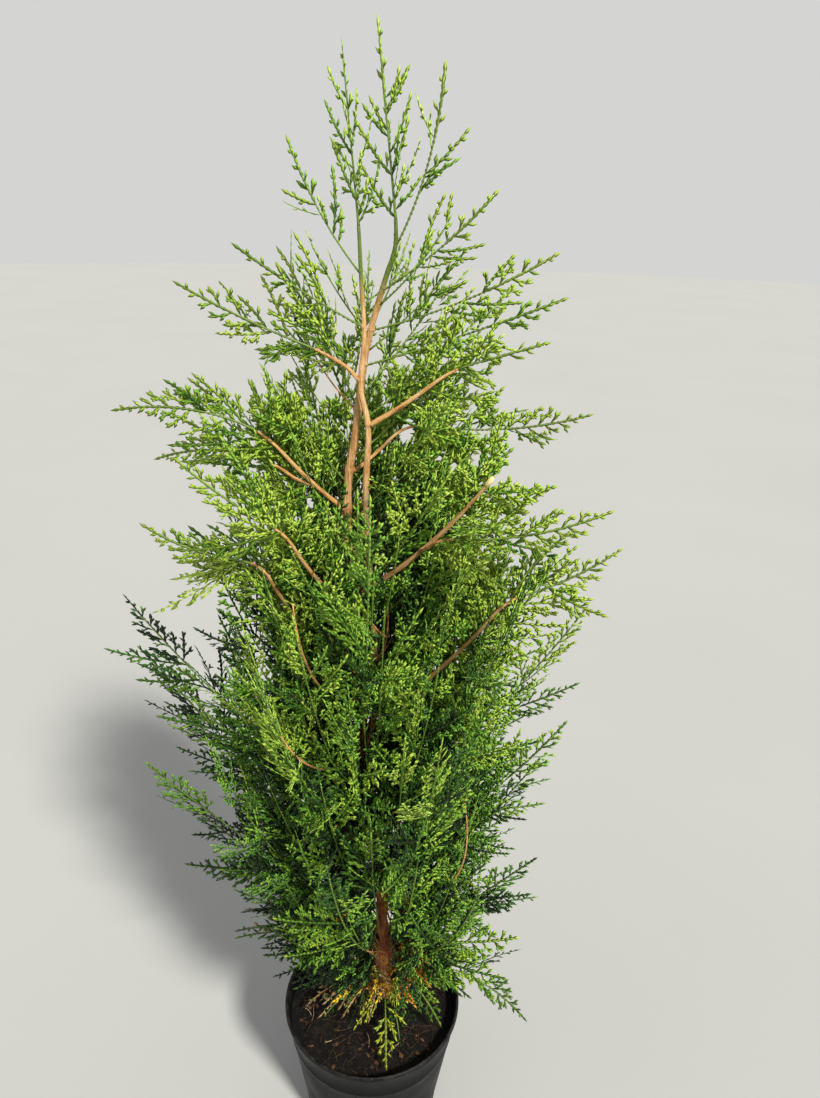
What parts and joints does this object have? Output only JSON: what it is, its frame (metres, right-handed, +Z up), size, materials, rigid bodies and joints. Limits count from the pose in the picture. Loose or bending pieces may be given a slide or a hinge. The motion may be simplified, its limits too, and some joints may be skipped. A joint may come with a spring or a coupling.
{
  "type": "potted thuja",
  "caption": "Young upright conifer with slender forked stems, bare boughs and flat fern-like sprays of foliage, growing in a round nursery pot of soil.",
  "frame": {"origin": "centre of the pot's flat underside", "axes": "+Z up along the pot's axis, -Y towards the front"},
  "size_m": [0.504, 0.3972, 1.271],
  "materials": {
    "pot": "matt black moulded plastic",
    "soil": "dark moist peat with fibres",
    "bark": "thin orange-brown bark",
    "foliage": "green scale leaves",
    "golden_foliage": "old golden-yellow scale leaves"
  },
  "bodies": {
    "root": {"bough_left_fork": "bark", "bough_left_low": "bark", "bough_left_main": "bark", "bough_left_mid": "bark", "bough_right_fork": "bark", "bough_right_long": "bark", "bough_right_low": "bark", "bough_right_small": "bark", "bough_right_upper": "bark", "bough_upper_left": "bark", "pot": "pot", "second_stem": "bark", "soil": "soil", "spray_apex": "foliage", "spray_arm_left": "foliage", "spray_arm_upper_left": "foliage", "spray_back_1": "foliage", "spray_back_2": "foliage", "spray_back_3": "foliage", "spray_back_4": "foliage", "spray_back_5": "foliage", "spray_back_6": "foliage", "spray_back_7": "foliage", "spray_back_8": "foliage", "spray_elbow_right": "foliage", "spray_far_left": "foliage", "spray_fine_left": "foliage", "spray_foot_left": "foliage", "spray_fork_left": "foliage", "spray_fork_right": "foliage", "spray_front_1": "foliage", "spray_front_2": "foliage", "spray_front_3": "foliage", "spray_front_4": "foliage", "spray_front_5": "foliage", "spray_front_6": "foliage", "spray_front_7": "foliage", "spray_golden_foot": "golden_foliage", "spray_high_left": "foliage", "spray_high_right": "foliage", "spray_low_bough_left": "foliage", "spray_low_bough_right": "foliage", "spray_low_right": "foliage", "spray_lower_left": "foliage", "spray_lower_right": "foliage", "spray_mid_left": "foliage", "spray_mid_right": "foliage", "spray_over_rim_right": "foliage", "spray_over_soil": "foliage", "spray_second_apex": "foliage", "spray_shoulder_right": "foliage", "spray_skirt_left": "foliage", "spray_skirt_right": "foliage", "spray_small_right": "foliage", "spray_top_left": "foliage", "spray_top_right": "foliage", "spray_upper_right": "foliage", "spray_wide_left": "foliage", "spray_wide_right": "foliage", "trunk": "bark"}
  },
  "joints": []
}
